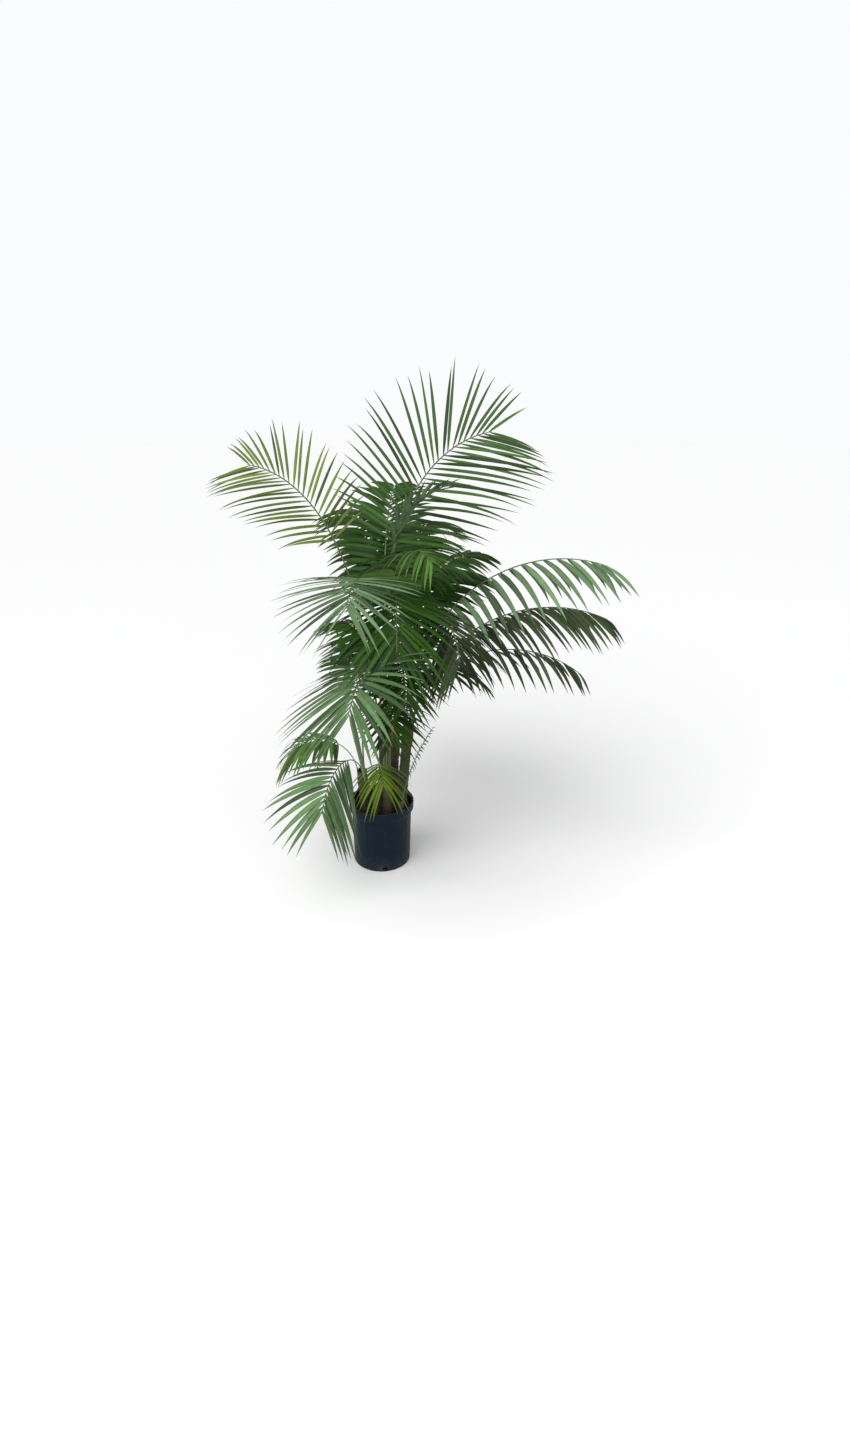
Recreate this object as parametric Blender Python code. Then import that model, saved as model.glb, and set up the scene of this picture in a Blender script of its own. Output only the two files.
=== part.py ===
"""Majesty palm: a clump of young stems with arching feather fronds in a round nursery pot.

Metres, +Z up. The origin is the centre of the pot's flat underside. Headings are
degrees in plan, 0 along +X and 90 along +Y.
"""
import random
from collections import namedtuple
from math import cos
from math import pi
from math import radians
from math import sin

import bmesh
import bpy
import numpy as np
from mathutils import Matrix
from mathutils.bvhtree import BVHTree

# Clearance between two solids that touch on the real plant
FIT = 0.0003

# Pot: a blow-moulded nursery pot with a wide rim band and drain holes round its foot
POT_HEIGHT = 0.290
POT_RIM_RADIUS = 0.143
POT_BAND_HEIGHT = 0.040
POT_TOP_RADIUS = 0.131
POT_FOOT_RADIUS = 0.124
POT_WALL = 0.004
POT_FLOOR = 0.005
POT_EDGE = 0.003
POT_SEGMENTS = 40
DRAIN_COUNT = 4
DRAIN_TURN = 9
DRAIN_WIDTH = 0.024
DRAIN_BOTTOM = 0.006
DRAIN_HEIGHT = 0.020

# Soil: fills the pot up to the step under the rim band
SOIL_TOP = POT_HEIGHT - POT_BAND_HEIGHT

# Stems: round, ringed and swollen where they leave the soil
STEM_SIDES = 8
STEM_FOOT_RADIUS = 0.024
STEM_TOP_RADIUS = 0.021
STEM_FLARE = 0.008
STEM_FLARE_HEIGHT = 0.030
STEM_STATIONS = (0.0, 0.03, 0.08, 0.18, 0.45, 0.75, 1.0)

# Ribs: three-sided, flat above and keeled below, thinning from foot to tip. The
# widths are those of a frond one metre long.
RIB_FOOT_WIDTH = 0.0095
RIB_TIP_WIDTH = 0.004
RIB_DEPTH_RATIO = 0.7
RIB_THINNING = 0.8
FOOT_RING = 0.66
STALK_STATIONS = 6
PATH_STEPS = 160

# Base colours of the leaves, and of the stalks
TONES = {
    "fresh": (0.105, 0.190, 0.055),
    "pale": (0.200, 0.290, 0.150),
    "deep": (0.030, 0.075, 0.028),
    "yellow": (0.300, 0.360, 0.080),
}
STALK_COLOUR = (0.120, 0.150, 0.055)

# A frond whose arch stands further than this off the line from foot to tip has its
# stalk and its blade as two solids
SPLIT_GAP = 0.20

# Leaflets: widest a third of the way out, a hundredth of their length thick or more
LEAF_WIDTH = 0.040
LEAF_STOUTEST = 0.14
LEAF_THICKNESS = 1 / 85
LEAF_THINNEST = 0.0022
LEAF_STATIONS = ((0.33, 1.0), (0.70, 0.66))
LEAF_ROOT = 0.018
LEAF_ANGLE_TIP = 28
LEAF_CLOSING = 1.3
LEAF_JITTER = 4
LIFT_EASING = 0.8
LEAF_CROWDING = 0.82
LEAF_PEAK = 0.48
LEAF_FIRST = 0.66
LEAF_MARGIN = 0.0012
LEAF_CUTS = (1.0, 0.8, 0.62, 0.48)
LEAF_TEST_START = 0.14
GROUND_GAP = 0.012
SEED = 7

# Places on the soil and of the tip, with the girth against a full-grown stem's
Stem = namedtuple("Stem", "x y top_x top_y top_z girth")

STEMS = {
    "tall": Stem(0.005, 0.020, 0.015, 0.030, 0.600, 1.0),
    "right": Stem(0.085, -0.005, 0.120, 0.010, 0.620, 1.0),
    "back": Stem(0.050, 0.078, 0.055, 0.118, 0.520, 1.0),
    "left": Stem(-0.070, -0.012, -0.080, -0.030, 0.420, 0.9),
    "front": Stem(0.030, -0.068, 0.030, -0.080, 0.420, 0.9),
    "shoot": Stem(0.084, -0.072, 0.090, -0.078, 0.310, 0.5),
    "sprout": Stem(-0.022, -0.098, -0.018, -0.102, 0.390, 0.5),
}

# rise: elevation at the foot; bend: how far it has dropped at the tip, along the
# frond to the power given; sway: turn in plan; bare: share of the length that is
# stalk; roll: how far the blade is turned about its rib; leaf: the longest leaflet,
# and last: the last one's length against it; open: angle of the first leaflets to the
# rib; lift and droop: how far the leaflets stand up, and hang
Frond = namedtuple("Frond", "stem heading rise bend power sway length bare roll leaf last open pairs "
                            "lift droop tone")

FRONDS = {
    "top_right": Frond("tall", 2, 90, 81, 3.16, -3, 1.47, 0.57, -60, 0.50, 0.36, 78, 16, 5, 0.07, "fresh"),
    "top_left": Frond("tall", 168, 82, 78, 3.0, -6, 1.38, 0.62, 50, 0.345, 0.50, 68, 13, 8, 0.10, "fresh"),
    "top_back": Frond("tall", 84, 87, 80, 3.0, 0, 1.20, 0.53, 0, 0.25, 0.45, 84, 11, 12, 0.18, "deep"),
    "spear": Frond("tall", -50, 90, 78, 3.96, 13, 1.20, 0.70, 0, 0.21, 0.60, 20, 5, 4, 0.05, "fresh"),
    "crown_front": Frond("tall", -62, 88, 115, 3.2, 0, 1.12, 0.56, 0, 0.25, 0.45, 84, 11, 12, 0.42, "pale"),
    "crown_right": Frond("tall", -20, 86, 96, 2.8, 50, 0.99, 0.57, 0, 0.23, 0.45, 84, 10, 5, 0.40, "deep"),
    "mid_left": Frond("tall", -99, 88, 125, 2.09, 3, 1.20, 0.74, 0, 0.31, 0.66, 84, 12, 4, 0.12, "pale"),
    "right_upper": Frond("right", -3, 90, 110, 1.25, 3, 1.30, 0.44, 5, 0.29, 0.52, 86, 12, -52, 0.30, "fresh"),
    "right_mid": Frond("right", -8, 82, 108, 1.15, 9, 1.13, 0.37, -5, 0.245, 0.45, 66, 14, -40, 0.30, "deep"),
    "right_low": Frond("right", -20, 83, 123, 1.05, 15, 0.96, 0.36, 0, 0.185, 0.45, 66, 11, -42, 0.30, "deep"),
    "right_inner": Frond("right", -73, 86, 175, 2.5, 11, 1.03, 0.60, 0, 0.25, 0.45, 84, 11, -15, 0.40, "deep"),
    "centre": Frond("right", -98, 85, 162, 2.4, 11, 1.16, 0.64, 0, 0.30, 0.60, 84, 12, 0, 0.25, "deep"),
    "centre_back": Frond("right", 62, 86, 120, 2.1, 0, 0.96, 0.48, 0, 0.28, 0.45, 84, 10, 0, 0.35, "deep"),
    "back_left_upper": Frond("back", 116, 87, 112, 2.6, 0, 1.33, 0.48, 0, 0.24, 0.45, 84, 13, 0, 0.44, "deep"),
    "back_upper": Frond("back", 96, 86, 122, 2.3, 0, 1.33, 0.48, 0, 0.31, 0.45, 84, 13, 0, 0.42, "fresh"),
    "back_right_upper": Frond("back", 74, 86, 118, 2.5, 0, 1.30, 0.48, 0, 0.26, 0.45, 84, 13, 0, 0.42, "fresh"),
    "back_middle": Frond("back", 83, 85, 136, 1.55, 0, 0.80, 0.46, 0, 0.26, 0.45, 84, 9, 0, 0.32, "deep"),
    "back_inner": Frond("back", 158, 86, 130, 2.4, -30, 0.76, 0.51, 0, 0.18, 0.45, 84, 10, 0, 0.38, "deep"),
    "low_left": Frond("front", -80, 86, 139, 1.92, -26, 1.16, 0.69, -22, 0.34, 0.66, 84, 12, 4, 0.12, "pale"),
    "low_centre": Frond("front", -63, 90, 147, 2.33, -24, 0.97, 0.62, 0, 0.21, 0.45, 84, 11, 0, 0.22, "deep"),
    "low_right": Frond("front", 15, 87, 140, 2.2, 0, 0.77, 0.46, 0, 0.21, 0.45, 84, 11, 0, 0.30, "deep"),
    "low_front": Frond("front", -75, 89, 146, 1.96, -13, 0.77, 0.56, 0, 0.18, 0.45, 84, 9, 0, 0.25, "deep"),
    "left_back": Frond("left", 104, 84, 130, 2.0, 0, 0.74, 0.46, 0, 0.19, 0.45, 84, 9, 0, 0.36, "deep"),
    "foot_left": Frond("left", -117, 80, 152, 0.94, 8, 0.49, 0.38, 36, 0.28, 0.58, 84, 11, -40, 0.30, "pale"),
    "left_low": Frond("left", -170, 82, 140, 1.3, 0, 0.43, 0.43, 0, 0.20, 0.45, 84, 9, 0, 0.35, "deep"),
    "back_low": Frond("back", 112, 83, 135, 1.4, 0, 0.80, 0.44, 0, 0.28, 0.45, 84, 10, 0, 0.32, "deep"),
    "foot_front": Frond("sprout", -81, 82, 156, 1.90, 6, 0.33, 0.50, 0, 0.155, 0.60, 84, 6, -10, 0.55, "yellow"),
    "foot_right": Frond("shoot", 10, 80, 24, 1.0, 0, 0.38, 0.36, 0, 0.048, 0.45, 84, 8, 0, 0.40, "deep"),
}


def material(name, colour, roughness):
    """A plain Principled material."""
    made = bpy.data.materials.new(name)
    made.use_nodes = True
    shader = made.node_tree.nodes["Principled BSDF"]
    shader.inputs["Base Color"].default_value = (*colour, 1.0)
    shader.inputs["Roughness"].default_value = roughness
    made.diffuse_color = (*colour, 1.0)
    return made


def add_object(name, points, faces, look):
    """One mesh object with its own material."""
    mesh = bpy.data.meshes.new(name)
    mesh.from_pydata([tuple(p) for p in points], [], faces)
    mesh.materials.append(look)
    made = bpy.data.objects.new(name, mesh)
    bpy.context.scene.collection.objects.link(made)
    return made


def lathe(profile, segments):
    """Points and faces of a profile of (radius, height) turned about Z.

    The profile runs anticlockwise as seen in the (radius, height) plane, from its
    lowest point on the axis to its highest.
    """
    points = [(0.0, 0.0, profile[0][1])]
    for radius, height in profile[1:-1]:
        for k in range(segments):
            turn = 2 * pi * k / segments
            points.append((radius * cos(turn), radius * sin(turn), height))
    points.append((0.0, 0.0, profile[-1][1]))
    rings = len(profile) - 2
    last = len(points) - 1
    faces = []
    for k in range(segments):
        after = (k + 1) % segments
        faces.append((0, 1 + after, 1 + k))
        for ring in range(rings - 1):
            low = 1 + ring * segments
            high = low + segments
            faces.append((low + k, low + after, high + after, high + k))
        top = 1 + (rings - 1) * segments
        faces.append((top + k, top + after, last))
    return points, faces


def shade_round(made, angle):
    made.data.shade_smooth()
    made.data.set_sharp_from_angle(angle=radians(angle))


def add_pot():
    """The pot's shell, cut by its ring of drain holes."""
    step = POT_HEIGHT - POT_BAND_HEIGHT
    profile = [
        (0.0, 0.0),
        (POT_FOOT_RADIUS - POT_EDGE, 0.0),
        (POT_FOOT_RADIUS, POT_EDGE),
        (POT_TOP_RADIUS, step),
        (POT_RIM_RADIUS - POT_EDGE, step + POT_EDGE),
        (POT_RIM_RADIUS, POT_HEIGHT - POT_EDGE),
        (POT_RIM_RADIUS - POT_EDGE, POT_HEIGHT),
        (POT_RIM_RADIUS - POT_EDGE - POT_WALL, POT_HEIGHT),
        (POT_RIM_RADIUS - POT_EDGE - POT_WALL, step + POT_WALL),
        (POT_TOP_RADIUS - POT_WALL, step),
        (POT_FOOT_RADIUS - POT_WALL, POT_FLOOR),
        (0.0, POT_FLOOR),
    ]
    points, faces = lathe(profile, POT_SEGMENTS)
    pot = add_object("pot", points, faces, material("pot_plastic", (0.012, 0.021, 0.033), 0.5))
    shade_round(pot, 40)

    cutter_mesh = bpy.data.meshes.new("drain_cutter")
    shapes = bmesh.new()
    for k in range(DRAIN_COUNT):
        turn = Matrix.Rotation(2 * pi * k / DRAIN_COUNT - pi / 2 + radians(DRAIN_TURN), 4, "Z")
        place = Matrix.Translation((POT_FOOT_RADIUS, 0.0, DRAIN_BOTTOM + DRAIN_HEIGHT / 2))
        size = Matrix.Diagonal((6 * POT_WALL, DRAIN_WIDTH, DRAIN_HEIGHT, 1.0))
        bmesh.ops.create_cube(shapes, size=1.0, matrix=turn @ place @ size)
    shapes.to_mesh(cutter_mesh)
    shapes.free()
    cutter = bpy.data.objects.new("drain_cutter", cutter_mesh)
    bpy.context.scene.collection.objects.link(cutter)
    cutter.hide_render = True
    cutter.display_type = "WIRE"
    holes = pot.modifiers.new("drain holes", "BOOLEAN")
    holes.operation = "DIFFERENCE"
    holes.solver = "EXACT"
    holes.object = cutter


def add_soil():
    """The potting soil: one closed plug a hair clear of the pot's wall and floor."""
    profile = [
        (0.0, POT_FLOOR + FIT),
        (POT_FOOT_RADIUS - POT_WALL - 2 * FIT, POT_FLOOR + FIT),
        (POT_TOP_RADIUS - POT_WALL - 2 * FIT, SOIL_TOP),
        (0.0, SOIL_TOP),
    ]
    points, faces = lathe(profile, POT_SEGMENTS)
    add_object("soil", points, faces, material("soil", (0.018, 0.013, 0.010), 0.95))


def stem_radius(stem, share):
    """Radius at a share of the stem's height, with the flare at its foot."""
    height = share * (stem.top_z - SOIL_TOP)
    flare = STEM_FLARE * 2.0 ** (-height / STEM_FLARE_HEIGHT * 2)
    return stem.girth * (STEM_FOOT_RADIUS + (STEM_TOP_RADIUS - STEM_FOOT_RADIUS) * share + flare)


def add_stem(name, stem, look):
    """A leaning, tapering stem, cut flat where it leaves the soil and at its tip."""
    foot = np.array((stem.x, stem.y, SOIL_TOP + FIT))
    tip = np.array((stem.top_x, stem.top_y, stem.top_z))
    points = []
    for share in STEM_STATIONS:
        centre = foot + (tip - foot) * share
        radius = stem_radius(stem, share)
        for k in range(STEM_SIDES):
            turn = 2 * pi * (k + 0.5) / STEM_SIDES
            points.append(centre + radius * np.array((cos(turn), sin(turn), 0.0)))
    faces = [tuple(reversed(range(STEM_SIDES)))]
    for ring in range(len(STEM_STATIONS) - 1):
        low = ring * STEM_SIDES
        for k in range(STEM_SIDES):
            after = (k + 1) % STEM_SIDES
            faces.append((low + k, low + after, low + STEM_SIDES + after, low + STEM_SIDES + k))
    top = (len(STEM_STATIONS) - 1) * STEM_SIDES
    faces.append(tuple(range(top, top + STEM_SIDES)))
    add_object("stem_" + name, points, faces, look)
    return points, faces


def foot_turns():
    """Where each frond stands on its stem's top: dealt round it in order of heading."""
    turns = {}
    for name in STEMS:
        own = sorted((f for f in FRONDS if FRONDS[f].stem == name), key=lambda f: FRONDS[f].heading)
        spread = 360 / len(own)
        offset = sum(FRONDS[f].heading - spread * k for k, f in enumerate(own)) / len(own)
        for k, frond_name in enumerate(own):
            turns[frond_name] = radians(spread * k + offset)
    return turns


def unit(vector):
    return vector / np.linalg.norm(vector)


class Rib:
    """A frond's curved centre line: place, direction, right and up at any share of it."""

    def __init__(self, frond, turn):
        stem = STEMS[frond.stem]
        alone = sum(other.stem == frond.stem for other in FRONDS.values()) == 1
        ring = 0.0 if alone else FOOT_RING * STEM_TOP_RADIUS * stem.girth
        self.frond = frond
        self.shares = np.linspace(0.0, 1.0, PATH_STEPS + 1)
        middles = (self.shares[1:] + self.shares[:-1]) / 2
        steps = np.array([self.along(share) for share in middles]) * frond.length / PATH_STEPS
        foot = np.array((stem.top_x + ring * cos(turn), stem.top_y + ring * sin(turn), stem.top_z + FIT))
        self.path = np.vstack([foot, foot + np.cumsum(steps, axis=0)])

    def along(self, share):
        heading = radians(self.frond.heading + self.frond.sway * share)
        rise = radians(self.frond.rise - self.frond.bend * share ** self.frond.power)
        return np.array((cos(rise) * cos(heading), cos(rise) * sin(heading), sin(rise)))

    def place(self, share):
        return np.array([np.interp(share, self.shares, self.path[:, axis]) for axis in range(3)])

    def sides(self, share):
        """Right and up of the blade, rolled about the rib over its first half."""
        heading = radians(self.frond.heading + self.frond.sway * share)
        right = np.array((sin(heading), -cos(heading), 0.0))
        up = np.cross(right, self.along(share))
        roll = radians(self.frond.roll) * min(1.0, share / 0.5)
        return right * cos(roll) + up * sin(roll), up * cos(roll) - right * sin(roll)

    def section(self, share, slip=0.0):
        """The rib's left, right and keel points, slipped along it by a distance."""
        centre = self.place(share) + slip * self.along(share)
        right, up = self.sides(share)
        width = RIB_FOOT_WIDTH + (RIB_TIP_WIDTH - RIB_FOOT_WIDTH) * share ** RIB_THINNING
        width *= self.frond.length ** 0.5
        return [
            centre - right * width / 2,
            centre + right * width / 2,
            centre - up * width * RIB_DEPTH_RATIO,
        ]

    def foot_section(self):
        """The rib's first section, laid flat on the stem's top."""
        centre = self.place(0.0)
        points = self.section(0.0)
        return [np.array((p[0], p[1], centre[2])) for p in points]

    def arch(self):
        """How far the rib stands off the straight line from its foot to its tip."""
        line = unit(self.path[-1] - self.path[0])
        off = self.path - self.path[0]
        return np.linalg.norm(off - np.outer(off @ line, line), axis=1).max()


def leaf_share(frond, pair):
    """Share of the rib at which a pair of leaflets grows, and share of the blade."""
    out = (pair + 0.5) / frond.pairs
    return frond.bare + (1 - frond.bare) * out, out


def leaf_reach(frond, out):
    """A leaflet's length against the longest: shorter at the blade's foot and tip."""
    if out < LEAF_PEAK:
        return LEAF_FIRST + (1 - LEAF_FIRST) * sin(pi / 2 * out / LEAF_PEAK)
    return 1 - (1 - frond.last) * ((out - LEAF_PEAK) / (1 - LEAF_PEAK)) ** 2


class Leaf:
    """One leaflet: a three-sided blade that leaves one side of the rib."""

    def __init__(self, rib, pair, side, noise):
        frond = rib.frond
        share, out = leaf_share(frond, pair)
        right, self.up = rib.sides(share)
        self.along = rib.along(share)
        self.side = side
        angle = frond.open + (LEAF_ANGLE_TIP - frond.open) * out ** LEAF_CLOSING
        angle = radians(angle + noise.uniform(-LEAF_JITTER, LEAF_JITTER))
        lift = radians(frond.lift * (1 - LIFT_EASING * out) + noise.uniform(-LEAF_JITTER, LEAF_JITTER))
        level = self.along * cos(angle) + side * right * sin(angle)
        pitch = frond.length * (1 - frond.bare) / frond.pairs
        self.root = rib.place(share)
        self.way = level * cos(lift) + self.up * sin(lift)
        self.droop = frond.droop
        self.length = frond.leaf * leaf_reach(frond, out)
        self.width = min(LEAF_WIDTH, LEAF_CROWDING * pitch * sin(angle), self.length * LEAF_STOUTEST)

    def section(self, where, half, grow):
        """Back, front and keel points of the leaflet at a share of its length."""
        drop = np.array((0.0, 0.0, -self.droop * self.length))
        centre = self.root + self.way * self.length * where + drop * where ** 2
        tangent = unit(self.way * self.length + 2 * where * drop)
        across = unit(self.along - tangent * (self.along @ tangent))
        normal = np.cross(across, tangent)
        if normal @ self.up < 0:
            normal = -normal
        thick = max(self.length * LEAF_THICKNESS, LEAF_THINNEST)
        face = centre + normal * grow
        return [
            face - across * (half + grow),
            face + across * (half + grow),
            centre - normal * (thick + grow),
        ]

    def sections(self, grow=0.0):
        return [self.section(where, self.width * full / 2, grow) for where, full in LEAF_STATIONS]

    def tip(self, grow=0.0):
        way = self.way * (self.length + grow)
        return self.root + way + np.array((0.0, 0.0, -self.droop * self.length))

    def shell(self, start, grow=0.0):
        """The leaflet from a share of its length outward, as points and triangles."""
        rows = [self.section(start, LEAF_ROOT / 2, grow)] + self.sections(grow)
        points = [point for row in rows for point in row]
        points.append(self.tip(grow))
        triangles = []
        for row in range(len(rows) - 1):
            for k in range(3):
                here = 3 * row + k
                after = 3 * row + (k + 1) % 3
                triangles.append((here, after, after + 3))
                triangles.append((here, after + 3, here + 3))
        last = 3 * (len(rows) - 1)
        for k in range(3):
            triangles.append((last + k, last + (k + 1) % 3, len(points) - 1))
        return points, triangles


class Solid:
    """A shape that leaflets keep clear of: its box and its surface."""

    def __init__(self, points, faces, owner):
        array = np.array(points)
        self.low = array.min(axis=0)
        self.high = array.max(axis=0)
        self.tree = BVHTree.FromPolygons([tuple(p) for p in points], faces)
        self.owner = owner

    def meets(self, other):
        if (self.low > other.high).any() or (self.high < other.low).any():
            return False
        return bool(self.tree.overlap(other.tree))


def is_clear(leaf, owner, solids):
    """Whether a leaflet touches nothing: its root may only meet its own frond."""
    whole = Solid(*leaf.shell(0.0, LEAF_MARGIN), owner)
    outer = Solid(*leaf.shell(LEAF_TEST_START, LEAF_MARGIN), owner)
    if whole.low[2] < GROUND_GAP:
        return False
    return not any((outer if solid.owner == owner else whole).meets(solid) for solid in solids)


def grow_leaf(rib, pair, side, owner, noise, solids):
    """The longest of a few lengths of leaflet that has room, or None."""
    leaf = Leaf(rib, pair, side, noise)
    full = leaf.length
    for cut in LEAF_CUTS:
        leaf.length = full * cut
        if is_clear(leaf, owner, solids):
            solids.append(Solid(*leaf.shell(0.0), owner))
            return leaf
    return None


def rib_shares(frond):
    """Where the rib has sections: along its stalk, and at each pair of leaflets' roots."""
    stalk = list(np.linspace(0.0, frond.bare, STALK_STATIONS))
    pitch = (1 - frond.bare) / frond.pairs
    half_root = min(LEAF_ROOT / frond.length, pitch * 0.45) / 2
    blade = [frond.bare]
    for pair in range(frond.pairs):
        middle = leaf_share(frond, pair)[0]
        blade += [middle - half_root, middle + half_root]
    blade.append(1.0)
    return stalk, blade


def rib_mesh(sections, leaves):
    """Points and faces of a rib through its sections, with its leaflets grown on.

    leaves holds, by segment and side, the leaflet whose root is that segment's side.
    """
    points = [point for section in sections for point in section]
    faces = [(0, 2, 1)]
    for segment in range(len(sections) - 1):
        left, right, keel = (3 * segment + k for k in range(3))
        next_left, next_right, next_keel = (3 * segment + 3 + k for k in range(3))
        faces.append((left, right, next_right, next_left))
        faces.append((right, keel, next_keel))
        faces.append((left, next_keel, keel))
        roots = {1: (right, next_keel, next_right), -1: (left, next_left, next_keel)}
        orders = {1: (0, 2, 1), -1: (0, 1, 2)}
        for side, root in roots.items():
            leaf = leaves.get((segment, side))
            if leaf is None:
                faces.append(root)
                continue
            base = root
            for row in leaf.sections():
                start = len(points)
                points += [row[k] for k in orders[side]]
                ring = (start, start + 1, start + 2)
                for k in range(3):
                    after = (k + 1) % 3
                    faces.append((base[k], base[after], ring[after], ring[k]))
                base = ring
            points.append(leaf.tip())
            for k in range(3):
                faces.append((base[k], base[(k + 1) % 3], len(points) - 1))
    last = 3 * (len(sections) - 1)
    faces.append((last, last + 1, last + 2))
    return points, faces


def add_frond(name, rib, leaves):
    """The frond as one solid, or as stalk and blade where it arches round a wide gap."""
    stalk, blade = rib_shares(rib.frond)
    look = material("leaf_" + name, TONES[rib.frond.tone], 0.45)
    if rib.arch() < SPLIT_GAP:
        sections = [rib.foot_section()] + [rib.section(share) for share in stalk[1:] + blade[1:]]
        shifted = {(segment + len(stalk) - 1, side): leaf for (segment, side), leaf in leaves.items()}
        add_object("frond_" + name, *rib_mesh(sections, shifted), look)
        return
    sections = [rib.foot_section()] + [rib.section(share) for share in stalk[1:-1]]
    sections.append(rib.section(rib.frond.bare, -FIT / 2))
    stalk_look = material("stalk_" + name, STALK_COLOUR, 0.5)
    add_object("frond_" + name + "_stalk", *rib_mesh(sections, {}), stalk_look)
    sections = [rib.section(rib.frond.bare, FIT / 2)] + [rib.section(share) for share in blade[1:]]
    add_object("frond_" + name + "_blade", *rib_mesh(sections, leaves), look)


def add_fronds(solids):
    """Every frond's rib first, then the leaflets, so that none crosses a rib."""
    turns = foot_turns()
    ribs = {name: Rib(frond, turns[name]) for name, frond in FRONDS.items()}
    for name, rib in ribs.items():
        stalk, blade = rib_shares(rib.frond)
        sections = [rib.section(share) for share in stalk[:-1] + blade]
        solids.append(Solid(*rib_mesh(sections, {}), name))
    noise = random.Random(SEED)
    for name, rib in ribs.items():
        leaves = {}
        for pair in range(rib.frond.pairs):
            for side in (-1, 1):
                leaf = grow_leaf(rib, pair, side, name, noise, solids)
                if leaf is not None:
                    leaves[(2 * pair + 1, side)] = leaf
        add_frond(name, rib, leaves)


for old in list(bpy.data.objects):
    bpy.data.objects.remove(old)

add_pot()
add_soil()
bark = material("stem_bark", (0.115, 0.080, 0.052), 0.8)
obstacles = [Solid(*lathe([(0.0, 0.0), (POT_RIM_RADIUS, 0.0), (POT_RIM_RADIUS, POT_HEIGHT),
                           (0.0, POT_HEIGHT)], POT_SEGMENTS), "pot")]
for stem_name, stem in STEMS.items():
    obstacles.append(Solid(*add_stem(stem_name, stem, bark), "stem_" + stem_name))
add_fronds(obstacles)
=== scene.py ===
"""The finished look of a potted majesty palm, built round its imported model.

Metres, +Z up, in the model's own frame: the origin is the centre of the pot's flat
underside. Headings are degrees in plan, 0 along +X and 90 along +Y.
"""
import random
from collections import namedtuple
from math import cos, exp, pi, radians, sin

import bmesh
import bpy
import numpy as np
from mathutils import Euler, Matrix, Vector, noise
from mathutils.bvhtree import BVHTree


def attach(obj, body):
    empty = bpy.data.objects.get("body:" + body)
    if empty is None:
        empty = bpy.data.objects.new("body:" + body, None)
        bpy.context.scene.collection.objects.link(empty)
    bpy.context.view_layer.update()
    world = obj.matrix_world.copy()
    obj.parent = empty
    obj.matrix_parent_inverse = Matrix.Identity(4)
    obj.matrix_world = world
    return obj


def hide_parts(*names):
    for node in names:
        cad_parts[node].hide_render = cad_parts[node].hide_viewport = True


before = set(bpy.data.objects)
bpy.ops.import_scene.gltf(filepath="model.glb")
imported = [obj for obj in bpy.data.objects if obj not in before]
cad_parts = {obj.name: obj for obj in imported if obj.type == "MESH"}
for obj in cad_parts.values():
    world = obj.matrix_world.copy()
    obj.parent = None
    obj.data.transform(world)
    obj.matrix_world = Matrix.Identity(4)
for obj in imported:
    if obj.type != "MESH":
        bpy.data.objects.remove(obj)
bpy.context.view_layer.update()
scene = bpy.context.scene


# The pot: a blow-moulded polyethylene nursery container, black with a blue cast. Its thin
# wall is stepped out into a deep rim band to lift it by, has mould flutes and two parting
# lines down it, and is cut by a ring of drain holes at its foot.
POT_HEIGHT = 0.29
POT_RIM_RADIUS = 0.143
POT_BAND_HEIGHT = 0.04
POT_STEP = POT_HEIGHT - POT_BAND_HEIGHT
POT_TOP_RADIUS = 0.131
POT_FOOT_RADIUS = 0.124
POT_WALL = 0.004
POT_FLOOR = 0.005
POT_SIDES = 240
WALL_ROWS = 30
WALL_MARGIN = 0.011
FLUTE_COUNT = 12
FLUTE_DEPTH = 0.0011
FLUTE_SHARPNESS = 24
FLUTE_FOOT = 0.026
FLUTE_FADE = 0.012
RELIEF_REACH = 0.0012
PARTING_DEPTH = 0.0005
PARTING_TURN = 0.35
PARTING_SPREAD = 0.00008
DRAIN_COUNT = 4
DRAIN_TURN = 9
DRAIN_WIDTH = 0.024
DRAIN_BOTTOM = 0.006
DRAIN_HEIGHT = 0.02
DRAIN_CORNER = 0.008
POT_COLOUR = (0.0026, 0.0106, 0.0212, 1.0)
POT_SCUFF = (0.016, 0.025, 0.035, 1.0)
DUST_COLOUR = (0.15, 0.13, 0.105, 1.0)

# Its outline, as radius and height: the underside, then the turns above the wall, each
# measured from the corner that pot_profile names with it
UNDERSIDE = ((0.0, 0.0025), (0.06, 0.0025), (0.104, 0.0025), (0.1065, 0.0008), (0.109, 0.0),
             (0.118, 0.0), (0.1214, 0.0006), (0.1234, 0.0024), (0.1242, 0.0052))
STEP_OUTSIDE = ((0.0, -0.004), (0.0012, -0.0014), (0.004, -0.0002))
BAND_OUTSIDE = ((-0.0045, 0.0004), (-0.002, 0.0016), (-0.0007, 0.0042), (-0.0004, 0.012))
LIP = ((-0.0003, -0.012), (0.0, -0.0092), (0.0, -0.0036), (-0.0009, -0.0012), (-0.0026, 0.0),
       (-0.0046, 0.0), (-0.0064, -0.001), (-0.007, -0.0036), (-0.007, -0.012))
BAND_INSIDE = ((-0.0072, 0.009), (-0.008, 0.0052), (-0.01, 0.0038))
STEP_INSIDE = ((-0.0028, 0.002), (-0.004, -0.001), (-0.0044, -0.01))
FLOOR_INSIDE = ((0.0, 0.008), (-0.0026, 0.0012), (-0.008, 0.0))


def add_object(name, data):
    """An object of the scene, round its mesh, lamp or camera."""
    made = bpy.data.objects.new(name, data)
    scene.collection.objects.link(made)
    return made


def add_piece(name, points, faces, *finishes):
    """A smooth-shaded mesh object with its materials."""
    mesh = bpy.data.meshes.new(name)
    mesh.from_pydata([tuple(p) for p in points], [], faces)
    for finish in finishes:
        mesh.materials.append(finish)
    mesh.shade_smooth()
    return add_object(name, mesh)


def mesh_of(name, shapes):
    """The mesh of shapes built up in a bmesh, which it frees."""
    mesh = bpy.data.meshes.new(name)
    shapes.to_mesh(mesh)
    shapes.free()
    return mesh


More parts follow.
